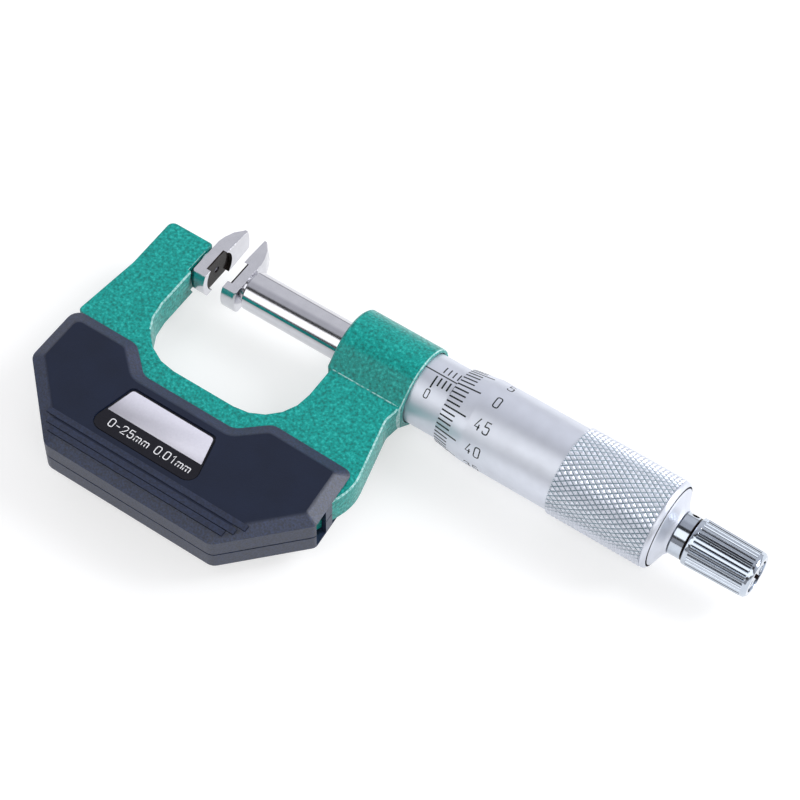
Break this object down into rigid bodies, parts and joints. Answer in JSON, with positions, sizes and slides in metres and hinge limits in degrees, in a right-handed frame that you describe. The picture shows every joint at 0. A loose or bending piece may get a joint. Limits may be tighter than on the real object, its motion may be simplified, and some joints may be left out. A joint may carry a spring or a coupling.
{
  "type": "jaw micrometer",
  "caption": "Outside micrometer with beak-shaped measuring jaws, a painted C-shaped frame in insulating covers, a graduated sleeve and thimble and a slipping ratchet knob.",
  "frame": {"origin": "under the middle of the bounding box, on the level of the lowest point of the thimble's knurled grip", "axes": "+X along the spindle from the fixed jaw to the ratchet, +Y from the back of the C-shaped frame towards the tips of the jaws, +Z out of the front face that carries the label"},
  "size_m": [0.1324, 0.0608, 0.0177],
  "materials": {
    "green_paint": "hammered enamel",
    "front_plastic": "fine grain",
    "rear_plastic": "fine grain",
    "label_print": "printed foil",
    "satin_chrome": "satin",
    "ground_steel": "ground and lapped",
    "dark_steel": "blackened",
    "nut_brass": "turned"
  },
  "bodies": {
    "frame_body": {"frame": "green_paint", "front_cover": "front_plastic", "rear_cover": "rear_plastic", "label_plate": "label_print", "cover_screw_1": "dark_steel", "cover_screw_2": "dark_steel", "fixed_jaw": "ground_steel", "spindle_key": "dark_steel", "inner_sleeve": "nut_brass", "sleeve": "satin_chrome", "adjusting_nut": "dark_steel"},
    "spindle_body": {"spindle": "ground_steel", "moving_jaw": "ground_steel", "thrust_ball": "ground_steel", "coupling_nut": "ground_steel"},
    "thimble_body": {"measuring_screw": "ground_steel", "thimble": "satin_chrome", "thimble_cap": "satin_chrome", "ratchet_base": "satin_chrome", "ratchet_screw": "satin_chrome"},
    "ratchet_body": {"ratchet_knob": "satin_chrome", "ratchet_disc": "ground_steel", "ratchet_spring": "ground_steel"}
  },
  "joints": [
    {"name": "spindle_travel", "type": "slide", "parent": "frame_body", "child": "spindle_body", "axis": [1, 0, 0], "range_m": [-0.004, 0.021]},
    {"name": "thimble_turn", "type": "hinge", "parent": "spindle_body", "child": "thimble_body", "pos_m": [0, 0.0208, 0.00885], "axis": [1, 0, 0], "range_deg": [-2880.5, 15120.5]},
    {"name": "ratchet_turn", "type": "hinge", "parent": "thimble_body", "child": "ratchet_body", "pos_m": [0.0595, 0.0208, 0.00885], "axis": [1, 0, 0], "continuous": true}
  ],
  "couplings": [
    {"joint": "thimble_turn", "follows": "spindle_travel", "rad_per_m": 12566}
  ]
}
